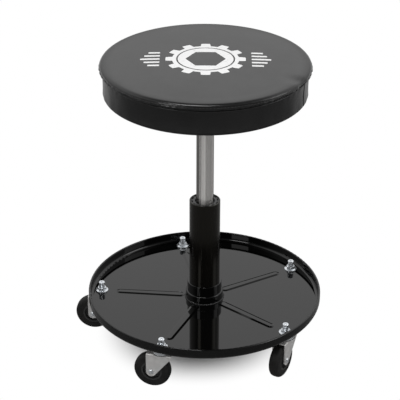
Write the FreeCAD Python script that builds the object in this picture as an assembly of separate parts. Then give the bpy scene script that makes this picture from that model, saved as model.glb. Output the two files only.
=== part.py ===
import FreeCAD, Part
import math
import os

# Rolling workshop stool: padded round seat on a gas lift, round tool tray, five swivel casters.
# Origin on the floor under the column axis, +Z up, seat at its highest. Sizes in millimetres, angles in degrees.

# Running and assembly clearances
running_fit = 0.05
seat_gap = 0.3
race_gap = 0.1
cut_overrun = 1.0

# Caster wheels
caster_count = 5
wheel_diameter = 60.0
wheel_width = 17.0
tread_edge_radius = 6.0
wheel_hub_radius = 17.0
hub_rim_wall = 2.5
hub_web = 7.0
hub_boss_radius = 8.0
hub_boss_proud = 0.5
wheel_side_gap = 0.5
wheel_bush_wall = 1.5
axle_diameter = 6.0
axle_head_diameter = 9.0
axle_head_height = 2.4

# Caster forks and swivels
caster_trail = 14.5
caster_edge_gap = 19.8
caster_first_azimuth = 175.0
caster_headings = (173.5, 118.0, 64.0, 241.0, 165.0)
fork_sheet = 2.0
fork_bend_radius = 3.0
fork_foot_radius = 8.0
fork_head_front = 19.0
fork_front_edge = 4.0
fork_disc_diameter = 31.0
wheel_to_head_gap = 1.6
swivel_ball_diameter = 4.0
swivel_ball_circle_radius = 10.0
swivel_ball_count = 12
swivel_ball_gap = 0.15
swivel_cap_diameter = 28.0
swivel_cap_sheet = 2.0
swivel_skirt_gap = 1.0
stem_diameter = 10.0
stem_head_diameter = 15.0
stem_head_height = 1.4
stem_proud = 9.8
stem_chamfer = 0.6
stem_dimple_radius = 1.8
thread_pitch = 1.5
thread_depth = 0.3
nut_across_flats = 13.0
nut_height = 6.6
nut_flange_diameter = 20.8
nut_flange_height = 1.8
nut_flange_slope = 0.8

# Tool tray
tray_outer_radius = 192.3
tray_sheet = 1.5
tray_wall_height = 17.0
tray_corner_radius = 7.0
tray_bead_radius = 1.7
rib_inner_width = 15.5
rib_outer_width = 13.5
rib_height = 1.2
rib_slope = 3.6
rib_edge_radius = 0.5
rib_hub_gap = 2.0
rib_nut_gap = 13.9

# Hub collar
hub_upper_diameter = 57.0
hub_upper_top = 31.2
hub_base_diameter = 62.0
hub_base_height = 14.0
hub_drop = 20.0
hub_lip_height = 3.0
hub_lip_width = 6.0
hub_edge_radius = 1.0
hub_seam_width = 0.7
hub_seam_depth = 0.8
hub_seam_azimuth = 256.0

# Column and its guide bush
column_diameter = 50.0
column_wall = 2.0
column_length = 199.0
column_base_height = 3.0
column_edge_radius = 0.8
bush_tail = 1.2
bush_set_back = 1.2
bush_slot_count = 12
bush_slot_angle = 18.0
bush_slot_width = 2.0
bush_slot_depth = 4.0
bush_slot_wall = 1.2
bush_recess_width = 2.2
bush_recess_depth = 3.0
snap_hole_diameter = 5.0
snap_hole_drop = 14.6
snap_hole_azimuth = 203.0

# Thrust bearing, rod and gas spring
lift_stroke = 120.0
rod_diameter = 10.0
race_diameter = 30.0
race_height = 2.0
bearing_ball_diameter = 4.5
bearing_ball_circle_radius = 10.5
bearing_ball_count = 12
bump_stop_diameter = 22.0
bump_stop_height = 6.0
bump_stop_gap = 0.4
rod_tail = 7.0
rod_washer_diameter = 18.0
rod_washer_height = 1.5
rod_clip_diameter = 16.0
rod_clip_height = 1.2
rod_clip_opening = 7.0
tube_diameter = 28.0
tube_wall = 1.5
tube_length = 233.0
tube_taper_length = 28.0
tube_taper_drop = 0.55
rod_guide_height = 14.0
piston_height = 12.0
piston_gap = 1.0
valve_height = 20.0
pin_diameter = 8.0
pin_length = 13.0
pin_proud = 6.0
pin_dome_height = 1.2

# Seat plate and release lever
plate_side = 150.0
plate_corner_radius = 12.0
plate_sheet = 3.0
plate_bolt_spacing = 120.0
plate_headroom = 9.5
socket_length = 46.0
socket_width = 45.8
cheek_sheet = 3.0
cheek_rear = 25.0
cheek_front = 38.0
lever_pivot_reach = 30.0
pivot_diameter = 6.0
pivot_head_diameter = 10.0
pivot_head_height = 2.0
lever_boss_radius = 6.0
lever_boss_gap = 0.4
lever_tongue_width = 16.0
lever_tongue_height = 4.0
lever_tongue_past_pin = 5.0
lever_rod_diameter = 8.0
lever_rod_length = 116.0
lever_droop = 8.0
grip_length = 46.0
grip_width = 26.0
grip_height = 11.0
grip_edge_radius = 4.0
grip_overlap = 36.0

# Seat board and fasteners
board_height = 12.0
bolt_diameter = 6.0
bolt_head_across_flats = 10.0
bolt_head_height = 4.0
bolt_tip_proud = 0.5
tee_flange_diameter = 18.0
tee_flange_height = 1.5
tee_barrel_diameter = 8.0
tee_barrel_length = 8.5
staple_count = 36
staple_inset = 13.8
staple_width = 10.0
staple_wire = 1.2
staple_leg = 6.0

# Seat padding and cover
cover_sheet = 1.4
seat_height = 54.6
crown_rise = 4.0
lip_radius = 165.4
shoulder_radius = 8.0
lip_under_radius = 3.5
lip_overhang = 4.6
band_draw_in = 1.3
band_foot_draw_in = 0.8
band_corner_radius = 3.5
band_turn_under = 23.0

# Heights worked out from the floor upwards
axle_z = wheel_diameter / 2
fork_bottom = wheel_diameter + wheel_to_head_gap
fork_top = fork_bottom + fork_sheet
cap_plate_bottom = fork_top + swivel_ball_diameter + 2 * swivel_ball_gap
tray_bottom = cap_plate_bottom + swivel_cap_sheet
tray_floor = tray_bottom + tray_sheet
hub_bottom = tray_bottom - hub_drop
column_bottom = hub_bottom + hub_lip_height
column_top = column_bottom + column_length
lower_race_bottom = column_bottom + column_base_height
upper_race_bottom = lower_race_bottom + race_height + bearing_ball_diameter + 2 * race_gap
bump_stop_bottom = upper_race_bottom + race_height
tube_bottom = bump_stop_bottom + bump_stop_height + bump_stop_gap + lift_stroke
tube_top = tube_bottom + tube_length
pin_top = tube_top + pin_proud
plate_bottom = pin_top + plate_headroom
board_bottom = plate_bottom + plate_sheet
board_top = board_bottom + board_height

# Radii worked out from the fits
stem_radius = stem_diameter / 2
column_radius = column_diameter / 2
column_bore = column_radius - column_wall
rod_radius = rod_diameter / 2
tube_radius = tube_diameter / 2
tube_bore = tube_radius - tube_wall
fork_inner = wheel_width / 2 + hub_boss_proud + wheel_side_gap
fork_outer = fork_inner + fork_sheet
fork_head_rear = caster_trail + fork_foot_radius
wheel_bush_radius = axle_diameter / 2 + wheel_bush_wall
cheek_inner = socket_width / 2
cheek_outer = cheek_inner + cheek_sheet
caster_circle_radius = tray_outer_radius - caster_edge_gap
rib_start_radius = hub_base_diameter / 2 + rib_hub_gap + rib_inner_width / 2
rib_end_radius = caster_circle_radius - nut_flange_diameter / 2 - rib_nut_gap - rib_outer_width / 2
band_radius = lip_radius - lip_overhang
staple_circle_radius = band_radius - band_foot_draw_in - staple_inset
band_inner = band_radius - max(band_draw_in, band_foot_draw_in) - cover_sheet
board_radius = band_inner - seat_gap
board_edge_radius = band_corner_radius - cover_sheet + seat_gap

V = FreeCAD.Vector
up = V(0, 0, 1)
centre = V(0, 0, 0)


def cylinder(radius, height, bottom):
    return Part.makeCylinder(radius, height, V(0, 0, bottom))


def ring(outer, inner, height, bottom):
    hole = cylinder(inner, height + 2 * cut_overrun, bottom - cut_overrun)
    return cylinder(outer, height, bottom).cut(hole)


def block(x0, x1, y0, y1, z0, z1):
    return Part.makeBox(x1 - x0, y1 - y0, z1 - z0, V(x0, y0, z0))


# A closed outline: each step is the next corner, or the middle and the end of an arc
def outline(start, steps):
    edges = []
    here = start
    for step in steps:
        if isinstance(step, tuple):
            edges.append(Part.Arc(here, step[0], step[1]).toShape())
            here = step[1]
        else:
            edges.append(Part.makeLine(here, step))
            here = step
    edges.append(Part.makeLine(here, start))
    return Part.Face(Part.Wire(edges))


def turned(start, steps):
    return outline(start, steps).revolve(centre, up, 360)


def point(radius, height):
    return V(radius, 0, height)


# Middle and end of an arc about a centre in the turning plane
def arc(middle, radius, start_angle, end_angle):
    def at(angle):
        turn = math.radians(angle)
        return V(middle.x + radius * math.cos(turn), 0, middle.z + radius * math.sin(turn))
    return (at((start_angle + end_angle) / 2), at(end_angle))


def hexagon(across_flats, height, bottom):
    corner = across_flats / math.sqrt(3)
    corners = []
    for k in range(6):
        turn = math.radians(60 * k)
        corners.append(V(corner * math.cos(turn), corner * math.sin(turn), bottom))
    return outline(corners[0], corners[1:]).extrude(V(0, 0, height))


def placed(shape, heading, x, y):
    copy = shape.copy()
    copy.rotate(centre, up, heading)
    copy.translate(V(x, y, 0))
    return copy


def ring_of(shape, count, first=0):
    copies = []
    for k in range(count):
        copies.append(placed(shape, first + k * 360 / count, 0, 0))
    return copies


def write(name, shapes):
    solids = shapes if isinstance(shapes, list) else [shapes]
    shape = solids[0] if len(solids) == 1 else Part.makeCompound(solids)
    shape.exportStep("parts/" + name + ".step")
    print(name, len(shape.Solids), round(shape.Volume), shape.isValid())


def caster_place(k):
    azimuth = math.radians(caster_first_azimuth - k * 360 / caster_count)
    return caster_circle_radius * math.cos(azimuth), caster_circle_radius * math.sin(azimuth)


def at_each_caster(shape):
    copies = []
    for k in range(caster_count):
        x, y = caster_place(k)
        copies.append(placed(shape, caster_first_azimuth - k * 360 / caster_count, x, y))
    return copies


# Turns a shape made about +Z so that its axis lies along the wheel's axle
def on_axle(shape):
    copy = shape.copy()
    copy.rotate(centre, V(1, 0, 0), 90)
    copy.translate(V(caster_trail, 0, axle_z))
    return copy


# Rubber tyre with a rounded tread, held on the rim of the wheel hub
def wheel_tyre():
    half = wheel_width / 2
    inner = wheel_hub_radius
    outer = wheel_diameter / 2
    side = outer - tread_edge_radius
    low = point(side, -half + tread_edge_radius)
    high = point(side, half - tread_edge_radius)
    steps = [
        point(side, -half),
        arc(low, tread_edge_radius, -90, 0),
        point(outer, half - tread_edge_radius),
        arc(high, tread_edge_radius, 0, 90),
        point(inner, half),
    ]
    return on_axle(turned(point(inner, -half), steps))


# Moulded hub: rim, recessed web and a boss that turns on the axle bush
def wheel_hub():
    half = wheel_width / 2
    boss = half + hub_boss_proud
    rim = wheel_hub_radius - hub_rim_wall
    bore = wheel_bush_radius + running_fit
    steps = [
        point(hub_boss_radius, -boss),
        point(hub_boss_radius, -hub_web / 2),
        point(rim, -hub_web / 2),
        point(rim, -half),
        point(wheel_hub_radius, -half),
        point(wheel_hub_radius, half),
        point(rim, half),
        point(rim, hub_web / 2),
        point(hub_boss_radius, hub_web / 2),
        point(hub_boss_radius, boss),
        point(bore, boss),
    ]
    return on_axle(turned(point(bore, -boss), steps))


def wheel_bush():
    half = fork_inner - race_gap
    return on_axle(ring(wheel_bush_radius, axle_diameter / 2 + running_fit, 2 * half, -half))


# Rivet through both fork legs, with a domed head at each end
def wheel_axle():
    shank = axle_diameter / 2
    head = axle_head_diameter / 2
    dome = (head ** 2 + axle_head_height ** 2) / (2 * axle_head_height)
    spread = math.degrees(math.asin(head / dome))
    top = point(0, fork_outer + axle_head_height - dome)
    low = point(0, -top.z)
    steps = [
        arc(low, dome, -90, spread - 90),
        point(shank, -fork_outer),
        point(shank, fork_outer),
        point(head, fork_outer),
        arc(top, dome, 90 - spread, 90),
    ]
    return on_axle(turned(point(0, -fork_outer - axle_head_height), steps))


# Where a line from a corner touches the round foot of the fork leg
def foot_tangent_angle(x, z):
    away = math.hypot(x - caster_trail, z - axle_z)
    towards = math.degrees(math.atan2(z - axle_z, x - caster_trail))
    return towards + math.degrees(math.acos(fork_foot_radius / away))


# Pressed fork: a folded channel trimmed to the leg outline, with a round head under the swivel
def caster_fork():
    bend = fork_bend_radius
    inner_bend = fork_bend_radius - fork_sheet
    foot = axle_z - fork_foot_radius
    diagonal = math.sqrt(2) / 2

    def across(y, z):
        return V(-fork_head_front, y, z)

    def corner(side, y, z, radius):
        return across(side * (y - radius + radius * diagonal), z - radius + radius * diagonal)

    channel = outline(across(-fork_outer, foot), [
        across(-fork_outer, fork_top - bend),
        (corner(-1, fork_outer, fork_top, bend), across(-fork_outer + bend, fork_top)),
        across(fork_outer - bend, fork_top),
        (corner(1, fork_outer, fork_top, bend), across(fork_outer, fork_top - bend)),
        across(fork_outer, foot),
        across(fork_inner, foot),
        across(fork_inner, fork_bottom - inner_bend),
        (corner(1, fork_inner, fork_bottom, inner_bend), across(fork_inner - inner_bend, fork_bottom)),
        across(-fork_inner + inner_bend, fork_bottom),
        (corner(-1, fork_inner, fork_bottom, inner_bend), across(-fork_inner, fork_bottom - inner_bend)),
        across(-fork_inner, foot),
    ]).extrude(V(fork_head_front + fork_head_rear, 0, 0))

    side = fork_outer + cut_overrun
    edge = fork_top - fork_front_edge
    touch = foot_tangent_angle(-fork_head_front, edge)
    middle = V(caster_trail, 0, axle_z)
    leg = outline(point(-fork_head_front, fork_top), [
        point(fork_head_rear, fork_top),
        point(fork_head_rear, axle_z),
        arc(middle, fork_foot_radius, 0, touch - 360),
        point(-fork_head_front, edge),
    ])
    leg.translate(V(0, -side, 0))
    fork = channel.common(leg.extrude(V(0, 2 * side, 0)))
    fork = fork.fuse(cylinder(fork_disc_diameter / 2, fork_sheet, fork_bottom)).removeSplitter()
    fork = fork.cut(cylinder(stem_radius + running_fit, fork_sheet + 2 * cut_overrun, fork_bottom - cut_overrun))
    hole = cylinder(axle_diameter / 2, 2 * side, -side)
    return fork.cut(on_axle(hole))


# Pressed cap that covers the swivel balls, tight under the tray
def swivel_cap():
    outer = swivel_cap_diameter / 2
    inner = outer - swivel_cap_sheet
    low = fork_top + swivel_skirt_gap
    hole = stem_radius + running_fit
    edge = swivel_cap_sheet / 2
    steps = [
        point(inner, cap_plate_bottom),
        point(inner, low),
        point(outer, low),
        point(outer, tray_bottom - edge),
        arc(point(outer - edge, tray_bottom - edge), edge, 0, 90),
        point(hole, tray_bottom),
    ]
    return turned(point(hole, cap_plate_bottom), steps)


def swivel_balls():
    z = fork_top + swivel_ball_gap + swivel_ball_diameter / 2
    ball = Part.makeSphere(swivel_ball_diameter / 2, V(swivel_ball_circle_radius, 0, z))
    balls = []
    for group in at_each_caster(Part.makeCompound(ring_of(ball, swivel_ball_count))):
        balls.extend(group.Solids)
    return balls


# Threaded stem: riveted head under the fork, plain shank, thread above the nut, dimpled tip
def caster_stem():
    head = stem_head_diameter / 2
    head_top = fork_bottom - seat_gap
    nut_top = tray_floor + nut_height
    tip = nut_top + stem_proud
    grooves = int((stem_proud - stem_chamfer) / thread_pitch)
    steps = [
        point(head, head_top - stem_head_height),
        point(head, head_top),
        point(stem_radius, head_top),
        point(stem_radius, nut_top),
    ]
    for k in range(grooves):
        crest = nut_top + k * thread_pitch
        steps.append(point(stem_radius - thread_depth, crest + thread_pitch / 2))
        steps.append(point(stem_radius, crest + thread_pitch))
    steps.append(point(stem_radius, tip - stem_chamfer))
    steps.append(point(stem_radius - stem_chamfer, tip))
    steps.append(point(stem_dimple_radius, tip))
    steps.append(arc(point(0, tip), stem_dimple_radius, 360, 270))
    return turned(point(0, head_top - stem_head_height), steps)


# Hexagon nut with a sloped round flange, corners chamfered at the top
def flange_nut():
    flange = nut_flange_diameter / 2
    nut_top = tray_floor + nut_height
    slope_top = tray_floor + nut_flange_height + nut_flange_slope
    corner = nut_across_flats / math.sqrt(3)
    flat = nut_across_flats / 2
    skirt = turned(point(0, tray_floor), [
        point(flange, tray_floor),
        point(flange, tray_floor + nut_flange_height),
        point(flat, slope_top),
        point(0, slope_top),
    ])
    trim = turned(point(0, tray_floor), [
        point(corner, tray_floor),
        point(corner, nut_top - (corner - flat)),
        point(flat, nut_top),
        point(0, nut_top),
    ])
    body = hexagon(nut_across_flats, nut_height, tray_floor).common(trim).fuse(skirt)
    bore = cylinder(stem_radius + running_fit, nut_height + 2 * cut_overrun, tray_floor - cut_overrun)
    return body.cut(bore).removeSplitter()


# Plan of a rib: round ends of unlike width joined by their tangents
def rib_plan(spread, z):
    inner = rib_inner_width / 2 + spread
    outer = rib_outer_width / 2 + spread
    lean = math.acos((inner - outer) / (rib_end_radius - rib_start_radius))

    def at(middle, radius, side):
        return V(middle + radius * math.cos(lean), side * radius * math.sin(lean), z)

    return outline(at(rib_start_radius, inner, 1), [
        (V(rib_start_radius - inner, 0, z), at(rib_start_radius, inner, -1)),
        at(rib_end_radius, outer, -1),
        (V(rib_end_radius + outer, 0, z), at(rib_end_radius, outer, 1)),
    ]).OuterWire


# Pressed rib with sloped sides, standing on a level and reaching a little below it
def rib_form(level, below):
    low = rib_plan(rib_slope * below / rib_height, level - below)
    high = rib_plan(-rib_slope, level + rib_height)
    rib = Part.makeLoft([low, high], True, True)
    top_edges = [edge for edge in rib.Edges if edge.BoundBox.ZMin > level]
    return rib.makeFillet(rib_edge_radius, top_edges)


# Pressed dish with a rolled rim, five raised ribs and the holes for hub and casters
def tool_tray():
    outer = tray_outer_radius
    corner = tray_corner_radius
    inner_corner = corner - tray_sheet
    top = tray_floor + tray_wall_height
    bead = tray_bead_radius
    bead_middle = point(outer - bead, top - bead)
    hole = hub_upper_diameter / 2 + running_fit
    bend = point(outer - corner, tray_bottom + corner)
    bead_low = arc(bead_middle, bead, 90, 360 - math.degrees(math.acos((bead - tray_sheet) / bead)))
    dish = turned(point(hole, tray_bottom), [
        point(outer - corner, tray_bottom),
        arc(bend, corner, -90, 0),
        point(outer, top - bead),
        arc(bead_middle, bead, 0, 90),
        bead_low,
        point(outer - tray_sheet, tray_bottom + corner),
        arc(bend, inner_corner, 0, -90),
        point(hole, tray_floor),
    ])
    ridge = rib_form(tray_floor, tray_sheet / 2)
    groove = rib_form(tray_bottom, cut_overrun)
    first = caster_first_azimuth
    dish = dish.fuse(ring_of(ridge, caster_count, first)).cut(ring_of(groove, caster_count, first))
    hole = cylinder(stem_radius + seat_gap, tray_sheet + 2 * cut_overrun, tray_bottom - cut_overrun)
    return dish.cut(at_each_caster(hole)).removeSplitter()


# Stepped collar welded into the tray, with a lip that carries the column and a butt seam in front
def hub_collar():
    upper = hub_upper_diameter / 2
    base = hub_base_diameter / 2
    bore = column_radius + running_fit
    top = tray_floor + hub_upper_top
    step = tray_floor + hub_base_height
    edge = hub_edge_radius
    shoulder = base - upper
    collar = turned(point(bore - hub_lip_width, hub_bottom), [
        point(upper, hub_bottom),
        point(upper, tray_floor),
        point(base, tray_floor),
        point(base, step - shoulder),
        arc(point(upper, step - shoulder), shoulder, 0, 90),
        point(upper, top - edge),
        arc(point(upper - edge, top - edge), edge, 0, 90),
        point(bore, top),
        point(bore, column_bottom),
        point(bore - hub_lip_width, column_bottom),
    ])
    half = hub_seam_width / 2
    seam = block(upper - hub_seam_depth, upper + cut_overrun, -half, half, step, top + cut_overrun)
    return collar.cut(placed(seam, hub_seam_azimuth, 0, 0))


def snap_hole(radius, reach):
    z = column_top - snap_hole_drop
    hole = Part.makeCylinder(radius, reach, V(0, 0, z), V(1, 0, 0))
    return placed(hole, snap_hole_azimuth, 0, 0)


def outer_column():
    edge = column_edge_radius
    hole = rod_radius + running_fit
    tube = turned(point(hole, column_bottom), [
        point(column_radius, column_bottom),
        point(column_radius, column_top - edge),
        arc(point(column_radius - edge, column_top - edge), edge, 0, 90),
        point(column_bore, column_top),
        point(column_bore, lower_race_bottom),
        point(hole, lower_race_bottom),
    ])
    return tube.cut(snap_hole(snap_hole_diameter / 2, column_radius + cut_overrun))


# Plastic bush that guides the tube, with slots in its end and a snap lug in the column's window
def guide_bush():
    outer = column_bore - running_fit
    inner = tube_radius + running_fit
    top = column_top - bush_set_back
    low = tube_bottom + bush_tail
    bush = ring(outer, inner, top - low, low)
    recess = cylinder(inner + bush_recess_width, bush_recess_depth + cut_overrun, top - bush_recess_depth)
    slot_outer = outer - bush_slot_wall
    slot = ring(slot_outer, slot_outer - bush_slot_width, bush_slot_depth, top - bush_slot_depth)
    wedge = Part.makeCylinder(column_radius, bush_slot_depth, V(0, 0, top - bush_slot_depth), up, bush_slot_angle)
    bush = bush.cut([recess] + ring_of(slot.common(wedge), bush_slot_count))
    lug = snap_hole(snap_hole_diameter / 2 - running_fit, column_radius - running_fit)
    return bush.fuse(lug.cut(cylinder(outer - running_fit, column_length, column_bottom)))


def race(bottom):
    return ring(race_diameter / 2, rod_radius + race_gap, race_height, bottom)


def bearing_balls():
    z = lower_race_bottom + race_height + race_gap + bearing_ball_diameter / 2
    ball = Part.makeSphere(bearing_ball_diameter / 2, V(bearing_ball_circle_radius, 0, z))
    return ring_of(ball, bearing_ball_count)


def upper_race():
    return ring(race_diameter / 2, rod_radius, race_height, upper_race_bottom)


def bump_stop():
    return ring(bump_stop_diameter / 2, rod_radius, bump_stop_height, bump_stop_bottom)


rod_bottom = column_bottom - rod_tail
washer_bottom = column_bottom - seat_gap - rod_washer_height
clip_bottom = washer_bottom - rod_clip_height
piston_bottom = tube_bottom + rod_guide_height + piston_gap


def piston_rod():
    return cylinder(rod_radius, piston_bottom + piston_height - rod_bottom, rod_bottom)


def piston():
    return ring(tube_bore - running_fit, rod_radius, piston_height, piston_bottom)


def rod_washer():
    return ring(rod_washer_diameter / 2, rod_radius, rod_washer_height, washer_bottom)


# Open spring clip in the rod's tail
def rod_clip():
    outer = rod_clip_diameter / 2
    clip = ring(outer, rod_radius, rod_clip_height, clip_bottom)
    half = rod_clip_opening / 2
    mouth = block(0, outer, -half, half, clip_bottom, clip_bottom + rod_clip_height)
    return clip.cut(mouth)


# Gas tube: straight where it slides, tapered where the seat plate's socket grips it
def pressure_tube():
    taper_bottom = tube_top - tube_taper_length
    return turned(point(tube_bore, tube_bottom), [
        point(tube_radius, tube_bottom),
        point(tube_radius, taper_bottom),
        point(tube_radius - tube_taper_drop, tube_top),
        point(tube_bore, tube_top),
    ])


def rod_guide():
    return ring(tube_bore, rod_radius + running_fit, rod_guide_height, tube_bottom)


def valve_body():
    return ring(tube_bore, pin_diameter / 2 + running_fit, valve_height, tube_top - valve_height)


def release_pin():
    radius = pin_diameter / 2
    shoulder = pin_top - pin_dome_height
    dome = (radius ** 2 + pin_dome_height ** 2) / (2 * pin_dome_height)
    spread = math.degrees(math.asin(radius / dome))
    return turned(point(0, pin_top - pin_length), [
        point(radius, pin_top - pin_length),
        point(radius, shoulder),
        arc(point(0, pin_top - dome), dome, 90 - spread, 90),
    ])


# Block bored to the tube's taper, welded between the cheeks
def taper_socket():
    half = socket_length / 2
    low = tube_top - tube_taper_length
    body = block(-cheek_inner, cheek_inner, -half, half, low, tube_top)
    large = tube_radius + running_fit
    return body.cut(Part.makeCone(large, large - tube_taper_drop, tube_taper_length, V(0, 0, low)))


pivot_z = pin_top + seat_gap + lever_tongue_height / 2


def along_x(radius, half, y=0, z=0):
    return Part.makeCylinder(radius, 2 * half, V(-half, y, z), V(1, 0, 0))


def plate_bolt_places():
    half = plate_bolt_spacing / 2
    return [(half, half), (-half, half), (-half, -half), (half, -half)]


def at_plate_bolts(shape):
    copies = []
    for x, y in plate_bolt_places():
        copies.append(placed(shape, 0, x, y))
    return copies


# Square plate under the seat board with two cheeks that hold socket and lever
def seat_plate():
    half = plate_side / 2
    plate = block(-half, half, -half, half, plate_bottom, board_bottom)
    corners = [edge for edge in plate.Edges if abs(edge.tangentAt(edge.FirstParameter).z) > 0]
    plate = plate.makeFillet(plate_corner_radius, corners)
    low = tube_top - tube_taper_length
    for side in (-1, 1):
        near, far = sorted((side * cheek_inner, side * cheek_outer))
        plate = plate.fuse(block(near, far, -cheek_rear, cheek_front, low, plate_bottom))
    hole = cylinder(bolt_diameter / 2 + seat_gap, plate_sheet + 2 * cut_overrun, plate_bottom - cut_overrun)
    plate = plate.cut(at_plate_bolts(hole))
    return plate.cut(along_x(pivot_diameter / 2, cheek_outer + cut_overrun, lever_pivot_reach, pivot_z))


def lever_pivot():
    y = lever_pivot_reach
    pin = along_x(pivot_diameter / 2, cheek_outer, y, pivot_z)
    heads = []
    for x in (-cheek_outer - pivot_head_height, cheek_outer):
        head = Part.makeCylinder(pivot_head_diameter / 2, pivot_head_height, V(x, y, pivot_z), V(1, 0, 0))
        heads.append(head)
    return pin.fuse(heads).removeSplitter()


# The arm and its grip are drawn level along +Y, then drop by the lever's droop about the pivot
def drooped(shape):
    copy = shape.copy()
    copy.rotate(V(0, lever_pivot_reach, pivot_z), V(1, 0, 0), -lever_droop)
    return copy


lever_rod_end = lever_pivot_reach + lever_rod_length
grip_start = lever_rod_end - grip_overlap


# Lever: tongue over the release pin, boss on the pivot, round arm that leaves under the seat
def lever_arm():
    y = lever_pivot_reach
    half = lever_tongue_width / 2
    low = pivot_z - lever_tongue_height / 2
    tongue = block(-half, half, -lever_tongue_past_pin, y, low, low + lever_tongue_height)
    boss = along_x(lever_boss_radius, cheek_inner - lever_boss_gap, y, pivot_z)
    arm = Part.makeCylinder(lever_rod_diameter / 2, lever_rod_length, V(0, y, pivot_z), V(0, 1, 0))
    bore = along_x(pivot_diameter / 2 + running_fit, cheek_outer, y, pivot_z)
    return boss.fuse([tongue, drooped(arm)]).cut(bore).removeSplitter()


def lever_grip():
    half = grip_width / 2
    low = pivot_z - grip_height / 2
    body = block(-half, half, grip_start, grip_start + grip_length, low, low + grip_height)
    body = body.makeFillet(min(grip_edge_radius, grip_height / 3), body.Edges)
    arm = Part.makeCylinder(lever_rod_diameter / 2, grip_overlap, V(0, grip_start, pivot_z), V(0, 1, 0))
    return drooped(body.cut(arm))


def staple_legs(depth):
    half = staple_wire / 2
    reach = staple_width / 2
    legs = []
    for y in (-reach, reach - staple_wire):
        legs.append(block(staple_circle_radius - half, staple_circle_radius + half, y, y + staple_wire,
                          board_bottom - cover_sheet, board_bottom - cover_sheet + depth))
    return legs


def staple():
    half = staple_wire / 2
    reach = staple_width / 2
    low = board_bottom - cover_sheet
    crown = block(staple_circle_radius - half, staple_circle_radius + half, -reach, reach, low - staple_wire, low)
    return crown.fuse(staple_legs(staple_leg)).removeSplitter()


staple_holes = ring_of(Part.makeCompound(staple_legs(staple_leg)), staple_count)


def seat_board():
    edge = board_edge_radius
    board = turned(point(0, board_bottom), [
        point(board_radius - edge, board_bottom),
        arc(point(board_radius - edge, board_bottom + edge), edge, -90, 0),
        point(board_radius, board_top),
        point(0, board_top),
    ])
    through = cylinder(tee_barrel_diameter / 2, board_height + 2 * cut_overrun, board_bottom - cut_overrun)
    sink = cylinder(tee_flange_diameter / 2, tee_flange_height + cut_overrun, board_top - tee_flange_height)
    return board.cut(at_plate_bolts(through) + at_plate_bolts(sink)).cut(staple_holes)


def tee_nut():
    flange = cylinder(tee_flange_diameter / 2, tee_flange_height, board_top - tee_flange_height)
    barrel = cylinder(tee_barrel_diameter / 2, tee_barrel_length, board_top - tee_barrel_length)
    bore = cylinder(bolt_diameter / 2, board_height + 2 * cut_overrun, board_bottom - cut_overrun)
    return flange.fuse(barrel).cut(bore).removeSplitter()


def plate_bolt():
    head = hexagon(bolt_head_across_flats, bolt_head_height, plate_bottom - bolt_head_height)
    length = plate_sheet + board_height - bolt_tip_proud
    return head.fuse(cylinder(bolt_diameter / 2, length, plate_bottom)).removeSplitter()


# The cover's outer line: a shallow crown, a round shoulder and a lip that ends at the seam
crown_edge_radius = lip_radius - shoulder_radius
crown_z = board_bottom + seat_height
shoulder_z = crown_z - crown_rise
lip_z = shoulder_z - shoulder_radius
seam_z = lip_z - lip_under_radius
crown_ball = (crown_edge_radius ** 2 + crown_rise ** 2) / (2 * crown_rise)


# Middle and end of the crown's arc at a depth under the cover, from the shoulder to the axis
def crown_arc(depth):
    ball = point(0, crown_z - crown_ball)
    spread = math.degrees(math.asin(crown_edge_radius / crown_ball))
    return arc(ball, crown_ball - depth, 90 - spread, 90)


# Point where the crown meets the shoulder at a depth under the cover
def crown_edge(depth):
    scale = (crown_ball - depth) / crown_ball
    return point(crown_edge_radius * scale, crown_z - crown_ball + (crown_ball - crown_rise) * scale)


# Steps from the seam up over lip and shoulder to the top of the crown
def cushion_line(depth):
    lip_middle = point(lip_radius - lip_under_radius, lip_z)
    shoulder_middle = point(crown_edge_radius, lip_z)
    diagonal = math.radians(45)
    bulge = shoulder_radius - depth
    mid = V(shoulder_middle.x + bulge * math.cos(diagonal), 0, shoulder_middle.z + bulge * math.sin(diagonal))
    return [
        arc(lip_middle, lip_under_radius - depth, -90, 0),
        (mid, crown_edge(depth)),
        crown_arc(depth),
    ]


def seat_foam():
    depth = cover_sheet + seat_gap
    under = seam_z + depth
    side = board_radius
    steps = [point(side, board_top), point(side, under), point(lip_radius - lip_under_radius, under)]
    return turned(point(0, board_top), steps + cushion_line(depth))


# Sewn top panel of the cover, crowned, with the lip that stands over the side band
def seat_top_panel():
    seam = lip_radius - lip_under_radius
    outside = outline(point(0, seam_z), [point(seam, seam_z)] + cushion_line(0))
    inside = outline(point(0, seam_z + cover_sheet), [point(seam, seam_z + cover_sheet)] + cushion_line(cover_sheet))
    mouth = cylinder(seam - cover_sheet, 2 * cover_sheet + cut_overrun, seam_z - cut_overrun)
    solid = outside.revolve(centre, up, 360).cut(inside.revolve(centre, up, 360))
    return solid.cut(mouth)


# Side band of the cover: drawn in at mid height, turned under the board and stapled there
def seat_side_band():
    top = seam_z - seat_gap
    low = board_bottom - cover_sheet
    corner = band_corner_radius
    foot = band_radius - band_foot_draw_in
    waist = band_radius - band_draw_in
    middle_z = (top + low) / 2
    bend = point(foot - corner, low + corner)
    thin = cover_sheet
    steps = [
        (point(waist, middle_z), point(foot, low + corner)),
        arc(bend, corner, 0, -90),
        point(foot - band_turn_under, low),
        point(foot - band_turn_under, board_bottom),
        point(foot - corner, board_bottom),
        arc(bend, corner - thin, -90, 0),
        (point(waist - thin, middle_z), point(band_radius - thin, top)),
    ]
    return turned(point(band_radius, top), steps).cut(staple_holes)


os.makedirs("parts", exist_ok=True)

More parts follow.
